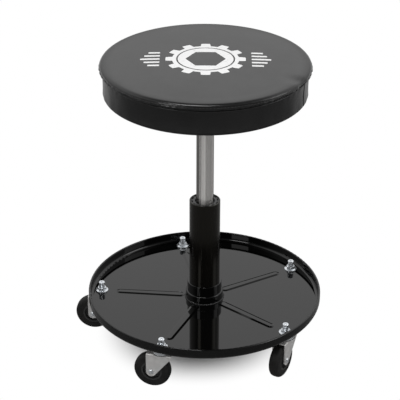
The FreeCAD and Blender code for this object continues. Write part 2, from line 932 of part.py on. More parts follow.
write("seat_top_panel", seat_top_panel())
write("seat_side_band", seat_side_band())
write("seat_foam", seat_foam())
write("seat_board", seat_board())
write("seat_staples", ring_of(staple(), staple_count))
write("tee_nuts", at_plate_bolts(tee_nut()))
write("seat_plate_bolts", at_plate_bolts(plate_bolt()))
write("seat_plate", seat_plate())
write("taper_socket", taper_socket())
write("lever_pivot", lever_pivot())
write("lever_arm", lever_arm())
write("lever_grip", lever_grip())

write("release_pin", release_pin())
write("valve_body", valve_body())
write("pressure_tube", pressure_tube())
write("rod_guide", rod_guide())
write("piston", piston())
write("piston_rod", piston_rod())
write("bump_stop", bump_stop())
write("bearing_upper_race", upper_race())
write("bearing_balls", bearing_balls())
write("bearing_lower_race", race(lower_race_bottom))
write("rod_washer", rod_washer())
write("rod_clip", rod_clip())
write("guide_bush", guide_bush())
write("outer_column", outer_column())
write("hub_collar", hub_collar())
write("tool_tray", tool_tray())

write("caster_flange_nuts", at_each_caster(flange_nut()))
write("caster_stems", at_each_caster(caster_stem()))
write("swivel_caps", at_each_caster(swivel_cap()))
write("swivel_balls", swivel_balls())

caster_pieces = {
    "caster_fork": caster_fork(),
    "wheel_axle": wheel_axle(),
    "wheel_bush": wheel_bush(),
    "wheel_hub": wheel_hub(),
    "wheel_tyre": wheel_tyre(),
}
for k in range(caster_count):
    x, y = caster_place(k)
    for name, piece in caster_pieces.items():
        write(name + "_" + str(k + 1), placed(piece, caster_headings[k], x, y))
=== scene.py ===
import math

import bmesh
import bpy
from mathutils import Matrix, Vector, noise
from mathutils.bvhtree import BVHTree


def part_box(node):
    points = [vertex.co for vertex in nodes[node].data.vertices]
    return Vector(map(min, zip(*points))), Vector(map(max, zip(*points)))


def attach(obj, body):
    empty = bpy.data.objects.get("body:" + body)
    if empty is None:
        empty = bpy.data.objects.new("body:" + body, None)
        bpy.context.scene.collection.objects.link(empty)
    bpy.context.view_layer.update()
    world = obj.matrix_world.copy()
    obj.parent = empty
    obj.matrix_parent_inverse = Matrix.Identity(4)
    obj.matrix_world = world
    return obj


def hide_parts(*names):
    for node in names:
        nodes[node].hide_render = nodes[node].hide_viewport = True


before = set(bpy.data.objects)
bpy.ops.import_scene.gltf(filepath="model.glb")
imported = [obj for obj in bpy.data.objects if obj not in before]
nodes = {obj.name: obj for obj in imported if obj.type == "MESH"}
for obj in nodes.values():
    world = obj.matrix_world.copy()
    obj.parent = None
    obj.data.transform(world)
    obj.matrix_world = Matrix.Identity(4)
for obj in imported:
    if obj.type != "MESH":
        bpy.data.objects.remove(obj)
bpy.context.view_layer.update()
scene = bpy.context.scene
scene.view_settings.view_transform = "Standard"
print("frame loaded,", len(nodes), "nodes")

# Camera at the photograph's angle

photoCamera = {
    "location": (0, -2.2007, 1.4112),
    "yaw": -0.206,  # degrees, to the right of +Y
    "pitch": 27.791,  # degrees, down
    "roll": 0.202,
    "lens": 138.6,
    "sensor": 36.0,
}


def makeCamera(look):
    yaw = math.radians(look["yaw"])
    pitch = math.radians(look["pitch"])
    roll = math.radians(look["roll"])
    forward = Vector((math.sin(yaw) * math.cos(pitch), math.cos(yaw) * math.cos(pitch), -math.sin(pitch)))
    levelRight = Vector((math.cos(yaw), -math.sin(yaw), 0))
    levelUp = levelRight.cross(forward)
    right = levelRight * math.cos(roll) + levelUp * math.sin(roll)
    upward = levelUp * math.cos(roll) - levelRight * math.sin(roll)
    turn = Matrix((right, upward, -forward)).transposed()
    data = bpy.data.cameras.new("photoCamera")
    data.lens = look["lens"]
    data.sensor_width = look["sensor"]
    camera = bpy.data.objects.new("photoCamera", data)
    camera.matrix_world = Matrix.Translation(look["location"]) @ turn.to_4x4()
    scene.collection.objects.link(camera)
    scene.camera = camera


makeCamera(photoCamera)
print("camera placed")

# Shared parts of the node trees


# A socket among the inputs is linked, anything else is set as the value
def fillInputs(tree, node, inputs):
    for key, value in inputs.items():
        if isinstance(value, bpy.types.NodeSocket):
            tree.links.new(value, node.inputs[key])
        else:
            node.inputs[key].default_value = value


def addNode(tree, kind, inputs=None, **settings):
    node = tree.nodes.new(kind)
    for key, value in settings.items():
        setattr(node, key, value)
    fillInputs(tree, node, inputs or {})
    return node


def mathNode(tree, operation, *parts):
    return addNode(tree, "ShaderNodeMath", dict(enumerate(parts)), operation=operation).outputs[0]


def remap(tree, value, low, high, start=0.0, end=1.0, kind="LINEAR"):
    node = addNode(tree, "ShaderNodeMapRange", {
        "Value": value, "From Min": start, "From Max": end, "To Min": low, "To Max": high,
    }, interpolation_type=kind)
    return node.outputs[0]


def softStep(tree, value, start, end, low=0.0, high=1.0):
    return remap(tree, value, low, high, start, end, "SMOOTHSTEP")


def lengthOf(tree, vector):
    return addNode(tree, "ShaderNodeVectorMath", {0: vector}, operation="LENGTH").outputs["Value"]


def splitPlace(tree, place):
    return addNode(tree, "ShaderNodeSeparateXYZ", {0: place}).outputs


def objectPlace(tree):
    return addNode(tree, "ShaderNodeTexCoord").outputs["Object"]


def mixShaders(tree, factor, first, second):
    return addNode(tree, "ShaderNodeMixShader", {"Fac": factor, 1: first.outputs[0], 2: second.outputs[0]})


def newFinish(name):
    material = bpy.data.materials.new(name)
    material.use_nodes = True
    tree = material.node_tree
    return material, tree, tree.nodes["Principled BSDF"]


def newPiece(name, bm, material):
    mesh = bpy.data.meshes.new(name)
    bm.to_mesh(mesh)
    bm.free()
    mesh.materials.append(material)
    piece = bpy.data.objects.new(name, mesh)
    scene.collection.objects.link(piece)
    return piece


# Floor, world and lamps

white = (1, 1, 1, 1)
studio = {
    "floorSize": 14.0,
    "floorColor": (0.87, 0.87, 0.87, 1),
    "glow": (0.080, 0.174),  # metres from the column over which the floor turns plain white
    "glowShift": (0.012, -0.008, 0),  # the shadow lies a little to the left and back
    "mirrorNear": 0.17,  # brightness of the floor in reflections, by the stool's front
    "mirrorBack": 0.45,
    "mirrorDepth": (-0.1, 0.9),  # y over which it goes from near to back
    "mirrorFar": 1.0,
    "mirrorReach": (1.6, 3.0),  # metres from the column over which it goes to far
    "worldLight": 0.76,
    "backdropWhite": 1.0,
    "backdropMirror": 0.95,
    "backdropTurn": (-0.55, 0.05),  # y of a direction, from the camera's side round to the backdrop
    "cameraSide": 0.15,
    "horizon": 0.64,  # share of the backdrop's brightness low down, in reflections
    "aloft": 1.04,  # the same, higher up
    "horizonRise": (0.20, 0.52),  # z of a direction, from low down to higher up
    "overhead": 0.12,
    "overheadRise": (0.72, 0.92),
    "lamps": {
        "overheadLamp": {"place": (-0.30, -0.75, 2.40), "aim": (0, 0, 0.4), "size": (1.0, 0.4), "power": 15},
        "frontLamp": {"place": (-1.5, -1.9, 1.6), "aim": (0, 0, 0.3), "size": (0.8, 0.8), "power": 8},
        "sideLamp": {"place": (1.9, -0.3, 1.3), "aim": (0, 0, 0.3), "size": (0.9, 0.9), "power": 5},
    },
}


def cameraRay(tree):
    return addNode(tree, "ShaderNodeLightPath").outputs["Is Camera Ray"]


def mirrorRay(tree):
    path = addNode(tree, "ShaderNodeLightPath")
    return mathNode(tree, "MAXIMUM", path.outputs["Is Glossy Ray"], path.outputs["Is Transmission Ray"])


# White behind the stool and at its sides, dimmer overhead and behind the camera
def makeWorld(look):
    world = bpy.data.worlds.new("studioWorld")
    world.use_nodes = True
    tree = world.node_tree
    tree.nodes.clear()
    way = addNode(tree, "ShaderNodeTexCoord").outputs["Generated"]
    y, z = splitPlace(tree, way)[1:]
    around = softStep(tree, y, *look["backdropTurn"], look["cameraSide"], look["backdropMirror"])
    rising = softStep(tree, z, *look["horizonRise"], look["horizon"], look["aloft"])
    around = mathNode(tree, "MULTIPLY", around, rising)
    high = softStep(tree, z, *look["overheadRise"])
    level = addNode(tree, "ShaderNodeMix", {0: high, 2: around, 3: look["overhead"]})
    soft = addNode(tree, "ShaderNodeBackground", {"Color": white, "Strength": look["worldLight"]})
    mirror = addNode(tree, "ShaderNodeBackground", {"Color": white, "Strength": level.outputs[0]})
    backdrop = addNode(tree, "ShaderNodeBackground", {"Color": white, "Strength": look["backdropWhite"]})
    shown = mixShaders(tree, mirrorRay(tree), soft, mirror)
    shown = mixShaders(tree, cameraRay(tree), shown, backdrop)
    addNode(tree, "ShaderNodeOutputWorld", {"Surface": shown.outputs[0]})
    scene.world = world


# Pale floor that keeps the shadow and runs out into plain white
def floorFinish(look):
    material, tree = newFinish("paleFloor")[:2]
    tree.nodes.clear()
    place = objectPlace(tree)
    shifted = addNode(tree, "ShaderNodeVectorMath", {0: place, 1: look["glowShift"]}, operation="ADD")
    share = softStep(tree, lengthOf(tree, shifted.outputs[0]), *look["glow"])
    y = splitPlace(tree, place)[1]
    near = softStep(tree, y, *look["mirrorDepth"], look["mirrorNear"], look["mirrorBack"])
    far = softStep(tree, lengthOf(tree, place), *look["mirrorReach"])
    level = addNode(tree, "ShaderNodeMix", {0: far, 2: near, 3: look["mirrorFar"]})
    matt = addNode(tree, "ShaderNodeBsdfDiffuse", {"Color": look["floorColor"]})
    glow = addNode(tree, "ShaderNodeEmission", {"Color": white, "Strength": 1.0})
    mirror = addNode(tree, "ShaderNodeEmission", {"Color": white, "Strength": level.outputs[0]})
    shown = mixShaders(tree, mathNode(tree, "MULTIPLY", share, cameraRay(tree)), matt, glow)
    shown = mixShaders(tree, mirrorRay(tree), shown, mirror)
    addNode(tree, "ShaderNodeOutputMaterial", {"Surface": shown.outputs[0]})
    return material


def makeFloor(look):
    bm = bmesh.new()
    bmesh.ops.create_grid(bm, x_segments=1, y_segments=1, size=look["floorSize"] / 2)
    floor = newPiece("floor", bm, floorFinish(look))


def makeLamps(look):
    for name, lamp in look["lamps"].items():
        data = bpy.data.lights.new(name, "AREA")
        data.shape = "RECTANGLE"
        data.size, data.size_y = lamp["size"]
        data.energy = lamp["power"]
        obj = bpy.data.objects.new(name, data)
        aim = Vector(lamp["aim"]) - Vector(lamp["place"])
        obj.rotation_mode = "QUATERNION"
        obj.location = lamp["place"]
        obj.rotation_quaternion = aim.to_track_quat("-Z", "Y")
        scene.collection.objects.link(obj)


makeWorld(studio)
makeFloor(studio)
makeLamps(studio)
print("studio lit")

# Finishes. A noise is given by its scale and detail, a bump by its depth and strength

noiseSpan = (0.3, 0.7)  # most values of a noise lie between these


# Three scales stretch the noise along x, y and z
def noiseFactor(tree, scale, detail, roughness=0.55):
    place = objectPlace(tree)
    if isinstance(scale, tuple):
        place = addNode(tree, "ShaderNodeMapping", {"Vector": place, "Scale": scale}).outputs[0]
        scale = 1
    texture = addNode(tree, "ShaderNodeTexNoise", {
        "Vector": place, "Scale": scale, "Detail": detail, "Roughness": roughness,
    })
    return texture.outputs["Fac"]


def cellDistance(tree, scale, feature="F1"):
    inputs = {"Vector": objectPlace(tree), "Scale": scale}
    return addNode(tree, "ShaderNodeTexVoronoi", inputs, feature=feature).outputs["Distance"]


def mixColors(tree, factor, first, second):
    inputs = {"Factor": factor, 6: first, 7: second}
    return addNode(tree, "ShaderNodeMix", inputs, data_type="RGBA").outputs[2]


def addBump(tree, shader, height, depth, strength):
    inputs = {"Height": height, "Distance": depth, "Strength": strength}
    fillInputs(tree, shader, {"Normal": addNode(tree, "ShaderNodeBump", inputs).outputs[0]})


def gray(level, warmth=0.0):
    return (level * (1 + warmth), level, level * (1 - warmth), 1)


# Two colours spread by one noise, roughness by the same or its own, and a fine grain
def mottledFinish(name, look):
    material, tree, shader = newFinish(name)
    cloud = noiseFactor(tree, *look["cloud"])
    shine = noiseFactor(tree, *look["shine"]) if "shine" in look else cloud
    shade = remap(tree, cloud, 0, look.get("most", 1), *look["cloudSpan"]) if "cloudSpan" in look else cloud
    fillInputs(tree, shader, {
        "Base Color": mixColors(tree, shade, *look["colors"]),
        "Roughness": remap(tree, shine, *look["roughness"], *noiseSpan),
        **look.get("constants", {}),
    })
    if "grain" in look:
        addBump(tree, shader, noiseFactor(tree, *look["grain"]), *look["grainBump"])
    return material


glossLook = {
    "colors": (gray(0.0012), gray(0.006)),  # paint and specks of dust
    "cloud": (420, 2),
    "cloudSpan": (0.70, 0.80),
    "roughness": (0.02, 0.045),
    "shine": (8, 3),
    "grain": (130, 1),
    "grainBump": (0.00001, 0.25),
}
columnLook = {
    "colors": (gray(0.0015, 0.10), gray(0.0035, 0.14)),  # paint and rubbed streaks
    "cloud": ((55, 55, 3), 3),
    "roughness": (0.14, 0.22),
    "grain": (700, 2),
    "grainBump": (0.00002, 0.3),
    "constants": {"Specular IOR Level": 0.42, "Specular Tint": (1.0, 0.96, 0.84, 1)},
}
satinLook = {
    "colors": (gray(0.012), gray(0.022)),
    "cloud": (30, 4),
    "roughness": (0.32, 0.45),
    "shine": (70, 3),
    "grain": (900, 2),
    "grainBump": (0.00004, 0.4),
}
steelLook = {
    "colors": (gray(0.56, 0.03), gray(0.88, 0.025)),
    "cloud": (900, 3),
    "roughness": (0.20, 0.30),
    "constants": {"Metallic": 1.0},
}
boltLook = {
    "colors": ((0.79, 0.82, 0.85, 1), (0.68, 0.71, 0.74, 1)),
    "cloud": (120, 3),
    "cloudSpan": (0.35, 0.7),
    "roughness": (0.16, 0.25),
    "constants": {"Metallic": 0.84},
}
aluminiumLook = {
    "colors": (gray(0.55), gray(0.72)),
    "cloud": ((60, 60, 2400), 3),  # rings left by turning
    "roughness": (0.28, 0.42),
    "constants": {"Metallic": 1.0},
}
plasticLook = {
    "colors": (gray(0.016), gray(0.026)),
    "cloud": (50, 4),
    "roughness": (0.42, 0.55),
    "grain": (1400, 2),
    "grainBump": (0.00005, 0.4),
}
bushLook = {
    "colors": (gray(0.030), gray(0.042)),
    "cloud": (50, 4),
    "roughness": (0.28, 0.36),
    "grain": (1800, 2),
    "grainBump": (0.00005, 0.4),
}
rubberLook = {
    "colors": (gray(0.006, 0.05), gray(0.016, 0.10)),  # rubber and dust
    "cloud": (45, 5),
    "cloudSpan": (0.45, 0.80),
    "most": 0.55,  # share of the dust where it is thickest
    "roughness": (0.50, 0.68),
    "shine": (120, 3),
    "grain": (1100, 2),
    "grainBump": (0.00006, 0.5),
    "constants": {"Specular IOR Level": 0.35},
}

vinylLook = {
    "colors": (gray(0.005), gray(0.008)),
    # painted light: the top's paler colours stand in for the light falling on the top
    "paintedLitTopColors": (gray(0.023), gray(0.030)),
    "paintedLightFade": (0.146, 0.161),  # painted light: the top is painted paler than the rim and lip, out to these radii
    "cloud": (14, 4),
    "cloudSpan": (0.35, 0.75),
    "roughness": (0.20, 0.26),
    "shine": (90, 4),
    "specular": 0.5,
    "grainScale": 620,
    "grainBump": (0.0001, 0.35),
    "printColors": (gray(0.80), gray(0.55)),
    "wear": (260, 5),
    "wearSpan": (0.60, 0.72),
    "toothCount": 12,
    "toothFlank": 0.25,  # the cosine at a flank's ends
    "tipRadius": 0.062,
    "rootRadius": 0.052,
    "grooveRadius": 0.043,
    "grooveWidth": 0.0025,
    "hexApothem": 0.027,
    "hexTurn": math.radians(30),
    "barRows": 3,
    "barStart": 0.071,
    "barLength": 0.030,
    "barStep": 0.006,  # each bar further from the middle is shorter
    "barWidth": 0.0055,
    "barPitch": 0.0125,
}


def insideBand(tree, value, low, high):
    above = mathNode(tree, "GREATER_THAN", value, low)
    below = mathNode(tree, "LESS_THAN", value, high)
    return mathNode(tree, "MULTIPLY", above, below)


# White print: a cogwheel with a hexagon hole, and parallel bars at both sides
def printMask(tree, look, away):
    x, y = splitPlace(tree, objectPlace(tree))[:2]
    acrossX = mathNode(tree, "ABSOLUTE", x)
    acrossY = mathNode(tree, "ABSOLUTE", y)
    angle = mathNode(tree, "ARCTAN2", y, x)
    teeth = mathNode(tree, "COSINE", mathNode(tree, "MULTIPLY", angle, look["toothCount"]))
    flank = look["toothFlank"]
    rim = remap(tree, teeth, look["rootRadius"], look["tipRadius"], -flank, flank)
    cog = mathNode(tree, "LESS_THAN", away, rim)
    slanted = mathNode(tree, "ADD", mathNode(tree, "MULTIPLY", acrossX, math.cos(look["hexTurn"])),
                       mathNode(tree, "MULTIPLY", acrossY, math.sin(look["hexTurn"])))
    hexagon = mathNode(tree, "MAXIMUM", slanted, acrossY)
    cog = mathNode(tree, "MULTIPLY", cog, mathNode(tree, "GREATER_THAN", hexagon, look["hexApothem"]))
    groove = insideBand(tree, away, look["grooveRadius"], look["grooveRadius"] + look["grooveWidth"])
    mask = mathNode(tree, "MAXIMUM", mathNode(tree, "SUBTRACT", cog, groove), 0.0)
    for row in range(look["barRows"]):
        middle = row * look["barPitch"]
        barY = insideBand(tree, acrossY, middle - look["barWidth"] / 2, middle + look["barWidth"] / 2)
        end = look["barStart"] + look["barLength"] - row * look["barStep"]
        bar = mathNode(tree, "MULTIPLY", barY, insideBand(tree, acrossX, look["barStart"], end))
        mask = mathNode(tree, "MAXIMUM", mask, bar)
    return mask


def vinylFinish(name, look, printed):
    material, tree, shader = newFinish(name)
    clouded = remap(tree, noiseFactor(tree, *look["cloud"]), 0, 1, *look["cloudSpan"])
    color = mixColors(tree, clouded, *look["colors"])
    if printed:
        flat = addNode(tree, "ShaderNodeVectorMath", {0: objectPlace(tree), 1: (1, 1, 0)}, operation="MULTIPLY")
        away = lengthOf(tree, flat.outputs[0])
        # painted light: paler top colours inside these radii, the darker rim and lip outside
        paintedLitTop = softStep(tree, away, *look["paintedLightFade"], 1.0, 0.0)
        color = mixColors(tree, paintedLitTop, color, mixColors(tree, clouded, *look["paintedLitTopColors"]))
        worn = remap(tree, noiseFactor(tree, *look["wear"]), 0, 1, *look["wearSpan"])
        color = mixColors(tree, printMask(tree, look, away), color, mixColors(tree, worn, *look["printColors"]))
    fillInputs(tree, shader, {
        "Base Color": color,
        "Roughness": remap(tree, noiseFactor(tree, *look["shine"]), *look["roughness"], *noiseSpan),
        "Specular IOR Level": look["specular"],
    })
    addBump(tree, shader, cellDistance(tree, look["grainScale"], "SMOOTH_F1"), *look["grainBump"])
    return material


threadLook = {
    "colors": (gray(0.018), gray(0.034)),
    "twist": (1800, 2),
    "twistBump": (0.0001, 0.5),
    "roughness": (0.55, 0.75),
}


def threadFinish(name, look):
    material, tree, shader = newFinish(name)
    twist = noiseFactor(tree, *look["twist"])
    fillInputs(tree, shader, {
        "Base Color": mixColors(tree, twist, *look["colors"]),
        "Roughness": remap(tree, twist, *look["roughness"]),
    })
    addBump(tree, shader, twist, *look["twistBump"])
    return material


tubeLook = {
    "colors": (gray(0.38, 0.03), gray(0.88, 0.025)),  # painted shade and painted highlight, for the tube's dark and pale bands
    "paintedHighlightTurn": math.radians(-100.5),  # painted highlight and painted shade bands along the tube, which come again half a turn on
    "paintedHighlightEdges": (math.radians(5), math.radians(19)),
    "paintedShadeTurn": math.radians(-168),
    "paintedShadeEdges": (math.radians(28), math.radians(40)),
    "metal": (1.0, 0.57),  # less on the painted highlight band, so that its diffuse part paints it paler
    "edge": gray(0.45),  # tint of the mirror at the tube's sides
    "roughness": (0.20, 0.30),
    "streak": ((85, 85, 0.4), 4),
    "streakShare": 0.2,
    "streakBump": (0.00002, 0.3),
}


# 1 along a painted light band of the tube and along its far side, 0 away from both
def paintedLightBand(tree, angle, turn, edges):
    around = mathNode(tree, "MULTIPLY", mathNode(tree, "SUBTRACT", angle, turn), 2.0)
    full, none = (math.cos(2 * edge) for edge in edges)
    return softStep(tree, mathNode(tree, "COSINE", around), none, full)


def tubeFinish(name, look):
    material, tree, shader = newFinish(name)
    x, y = splitPlace(tree, objectPlace(tree))[:2]
    angle = mathNode(tree, "ARCTAN2", y, x)
    # painted light: the pale band is a painted highlight and the dull band a painted shade, with random streaks
    # added
    pale = paintedLightBand(tree, angle, look["paintedHighlightTurn"], look["paintedHighlightEdges"])
    paintedShade = paintedLightBand(tree, angle, look["paintedShadeTurn"], look["paintedShadeEdges"])
    paintedLight = remap(tree, mathNode(tree, "SUBTRACT", pale, paintedShade), 0.0, 1.0, -1.0, 1.0)
    streak = noiseFactor(tree, *look["streak"])
    streaked = remap(tree, streak, -look["streakShare"], look["streakShare"], *noiseSpan)
    shade = mathNode(tree, "ADD", paintedLight, streaked)
    fillInputs(tree, shader, {
        "Base Color": mixColors(tree, shade, *look["colors"]),
        "Metallic": remap(tree, shade, *look["metal"]),
        "Roughness": remap(tree, streak, *look["roughness"], *noiseSpan),
        "Specular Tint": look["edge"],
    })
    addBump(tree, shader, streak, *look["streakBump"])
    return material


forkLook = {
    "colors": (gray(0.68, 0.015), gray(0.60, 0.02)),
    "spangleScale": 90,
    "spangleSpan": (0.1, 0.6),
    "blue": (0.60, 0.65, 0.68, 1),
    "blueMost": 0.3,
    "cloud": (40, 4),
    "cloudSpan": (0.45, 0.75),
    "roughness": (0.34, 0.44),
    "metal": 0.6,  # the rest shows as the plate's milky haze
}


def forkFinish(name, look):
    material, tree, shader = newFinish(name)
    spangle = remap(tree, cellDistance(tree, look["spangleScale"]), 0, 1, *look["spangleSpan"])
    cloud = noiseFactor(tree, *look["cloud"])
    blued = remap(tree, cloud, 0, look["blueMost"], *look["cloudSpan"])
    fillInputs(tree, shader, {
        "Base Color": mixColors(tree, blued, mixColors(tree, spangle, *look["colors"]), look["blue"]),
        "Roughness": remap(tree, cloud, *look["roughness"], *noiseSpan),
        "Metallic": look["metal"],
    })
    return material


plywoodLook = {
    "pale": (0.034, 0.028, 0.023, 1),
    "dark": (0.014, 0.011, 0.009, 1),
    "grain": ((9, 240, 240), 5, 0.65),
    "grainShare": 0.6,
    "grainBump": (0.00012, 0.4),
    "ring": ((3, 26, 26), 3),
    "ringShare": 0.4,
    "shadeSpan": (0.35, 0.65),
    "veneer": 0.0015,  # thickness of one layer
    "waveRate": 20,  # of a wave texture at scale 1
    "waveWarp": 0.4,
    "waveDetail": 1.0,
    "layerShare": 0.45,
    "roughness": (0.55, 0.70),
}


def plywoodFinish(name, look):
    material, tree, shader = newFinish(name)
    grain = noiseFactor(tree, *look["grain"])
    ring = noiseFactor(tree, *look["ring"])
    layers = addNode(tree, "ShaderNodeTexWave", {
        "Vector": objectPlace(tree), "Scale": 1 / look["veneer"] / look["waveRate"],
        "Distortion": look["waveWarp"], "Detail": look["waveDetail"],
    }, bands_direction="Z")
    shade = mathNode(tree, "ADD", mathNode(tree, "MULTIPLY", grain, look["grainShare"]),
                     mathNode(tree, "MULTIPLY", ring, look["ringShare"]))
    face = mixColors(tree, remap(tree, shade, 0, 1, *look["shadeSpan"]), look["pale"], look["dark"])
    layered = remap(tree, layers.outputs["Fac"], 0, look["layerShare"])
    fillInputs(tree, shader, {
        "Base Color": mixColors(tree, layered, face, look["dark"]),
        "Roughness": remap(tree, grain, *look["roughness"], *noiseSpan),
    })
    addBump(tree, shader, grain, *look["grainBump"])
    return material


foamLook = {
    "colors": ((0.62, 0.56, 0.40, 1), (0.35, 0.30, 0.20, 1)),  # foam and pores
    "poreScale": 700,
    "poreSpan": (0.1, 0.6),
    "poreBump": (0.0004, 0.8),
    "roughness": 0.9,
}


def foamFinish(name, look):
    material, tree, shader = newFinish(name)
    pore = cellDistance(tree, look["poreScale"])
    fillInputs(tree, shader, {
        "Base Color": mixColors(tree, remap(tree, pore, 1, 0, *look["poreSpan"]), *look["colors"]),
        "Roughness": look["roughness"],
    })
    addBump(tree, shader, pore, *look["poreBump"])
    return material


finishes = {
    "topVinyl": vinylFinish("printedVinyl", vinylLook, True),
    "bandVinyl": vinylFinish("bandVinyl", vinylLook, False),
    "thread": threadFinish("stitchThread", threadLook),
    "gloss": mottledFinish("glossBlackPaint", glossLook),
    "column": mottledFinish("columnBlackPaint", columnLook),
    "satin": mottledFinish("satinBlackPaint", satinLook),
    "tube": tubeFinish("groundTube", tubeLook),
    "steel": mottledFinish("groundSteel", steelLook),
    "fork": forkFinish("forkZinc", forkLook),
    "bolt": mottledFinish("boltZinc", boltLook),
    "aluminium": mottledFinish("turnedAluminium", aluminiumLook),
    "plastic": mottledFinish("mouldedPlastic", plasticLook),
    "bush": mottledFinish("bushPlastic", bushLook),
    "rubber": mottledFinish("wheelRubber", rubberLook),
    "plywood": plywoodFinish("stainedPlywood", plywoodLook),
    "foam": foamFinish("openCellFoam", foamLook),
}
print("finishes made,", len(finishes))

# Finish of each CAD node

nodeFinishes = {
    "topVinyl": ["seat_top_panel"],
    "bandVinyl": ["seat_side_band"],
    "foam": ["seat_foam"],
    "plywood": ["seat_board"],
    "bolt": ["caster_flange_nuts", "caster_stems", "seat_plate_bolts", "seat_staples", "tee_nuts",
             "lever_pivot", "rod_washer", "rod_clip", "swivel_caps"],
    "satin": ["seat_plate", "taper_socket", "lever_arm"],
    "tube": ["pressure_tube"],
    "steel": ["piston_rod", "bearing_upper_race", "bearing_lower_race", "bearing_balls", "release_pin",
              "swivel_balls"],
    "aluminium": ["piston", "rod_guide", "valve_body"],
    "plastic": ["lever_grip"],
    "bush": ["guide_bush"],
    "rubber": ["bump_stop"],
    "gloss": ["tool_tray", "hub_collar"],
    "column": ["outer_column"],
}
casterFinishes = {
    "caster_fork": "fork",
    "wheel_axle": "bolt",
    "wheel_bush": "steel",
    "wheel_hub": "plastic",
    "wheel_tyre": "rubber",
}


def dressNode(name, finish):
    materials = nodes[name].data.materials
    materials.clear()
    materials.append(finishes[finish])


def dressNodes():
    for finish, names in nodeFinishes.items():
        for name in names:
            dressNode(name, finish)
    for kind, finish in casterFinishes.items():
        for name in [key for key in nodes if key.startswith(kind + "_")]:
            dressNode(name, finish)


dressNodes()
print("nodes dressed")

# Seat

panelLow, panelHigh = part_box("seat_top_panel")
bandLow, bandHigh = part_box("seat_side_band")
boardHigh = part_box("seat_board")[1]


# A bmesh turned about the column from a line of (radius, height) points
def spinLine(points, segments, closed=False):
    bm = bmesh.new()
    verts = [bm.verts.new((radius, 0, height)) for radius, height in points]
    edges = [bm.edges.new(pair) for pair in zip(verts, verts[1:])]
    if closed:
        edges.append(bm.edges.new((verts[-1], verts[0])))
    bmesh.ops.spin(bm, geom=verts + edges, cent=(0, 0, 0), axis=(0, 0, 1), angle=math.tau,
                   steps=segments, use_merge=True)
    bmesh.ops.remove_doubles(bm, verts=bm.verts, dist=1e-6)
    bmesh.ops.recalc_face_normals(bm, faces=bm.faces)
    return bm


def arcPoints(middle, radius, start, end, count):
    points = []
    for step in range(count + 1):
        turn = math.radians(start + (end - start) * step / count)
        points.append((middle[0] + radius * math.cos(turn), middle[1] + radius * math.sin(turn)))
    return points


def bakedMesh(piece):
    depsgraph = bpy.context.evaluated_depsgraph_get()
    mesh = bpy.data.meshes.new_from_object(piece.evaluated_get(depsgraph))
    piece.modifiers.clear()
    old = piece.data
    piece.data = mesh
    bpy.data.meshes.remove(old)


def turnOf(point):
    return math.atan2(point.y, point.x)


def turnBetween(first, second):
    return (first - second + math.pi) % math.tau - math.pi


def hump(value, width):
    return math.exp(-(value / width) ** 2)


# Uneven drift along the seam, the same on every run
def drift(turn, scale, height=0.0):
    return noise.noise(Vector((math.cos(turn) * scale, math.sin(turn) * scale, height)))


# A number of waves round the seat, whose pace strays
def unevenWave(turn, count, stray, scale):
    return math.cos(count * turn + stray * drift(turn, scale))


# Moves every point along its normal by what moveOf says of its place
def pushOut(piece, look, moveOf):
    verts = piece.data.vertices
    spots = [vert.co + vert.normal * moveOf(vert.co, look) for vert in verts]
    for vert, spot in zip(verts, spots):
        vert.co = spot


def smoothed(piece):
    for polygon in piece.data.polygons:
        polygon.use_smooth = True


cushion = {
    "lipRadius": panelHigh.x,
    "crownZ": panelHigh.z,
    "seamZ": panelLow.z,
    "restZ": boardHigh.z + 0.0003,  # just clear of the board
    "coreRadius": boardHigh.x,
    "crownRise": 0.004,
    "crownSteps": 48,
    "shoulderRadius": 0.008,
    "shoulderEnd": 88,  # degrees, where the crown starts
    "shoulderSteps": 40,
    "lipUnderRadius": 0.0035,
    "lipSteps": 20,
    "shrink": 0.002,  # the pad starts this much smaller on every side
    "segments": 160,
    "coverSegments": 720,
    "voxel": 0.003,
    "pressure": 4.0,
    "frames": 20,
    "cap": 0.006,
    "relief": 0.0005,  # how far the swollen form may leave the even one
    "reliefFade": 0.035,
    "evening": 60,
    "smoothing": 2,
    "sewnReach": 0.064,  # further in from the lip, sewing moves nothing
    "stitchRise": 0.0062,  # stitch line above the seam
    "stitchGroove": 0.0007,
    "stitchWidth": 0.0017,
    "pucker": 0.0002,
    "puckerWave": (66, 3, 7),
    "puckerReach": 0.0042,
    "dentTurn": math.radians(-27),
    "dentWidth": 0.0125,
    "dentReach": 0.016,
    "dentDepth": 0.0026,
}


def lipHeight(look):
    return look["crownZ"] - look["crownRise"] - look["shoulderRadius"]


def cushionLine(look, depth):
    crownEdge = look["lipRadius"] - look["shoulderRadius"]
    lipZ = lipHeight(look)
    core = look["coreRadius"] - depth
    seam = look["lipRadius"] - look["lipUnderRadius"]
    points = [(0, look["restZ"] + depth), (core, look["restZ"] + depth), (core, look["seamZ"] + depth)]
    points += arcPoints((seam, lipZ), look["lipUnderRadius"] - depth, -90, 0, look["lipSteps"])
    points += arcPoints((crownEdge, lipZ), look["shoulderRadius"] - depth,
                        0, look["shoulderEnd"], look["shoulderSteps"])[1:]
    for step in range(1, look["crownSteps"] + 1):
        share = 1 - step / look["crownSteps"]
        points.append((crownEdge * share, look["crownZ"] - depth - look["crownRise"] * share ** 2))
    return points


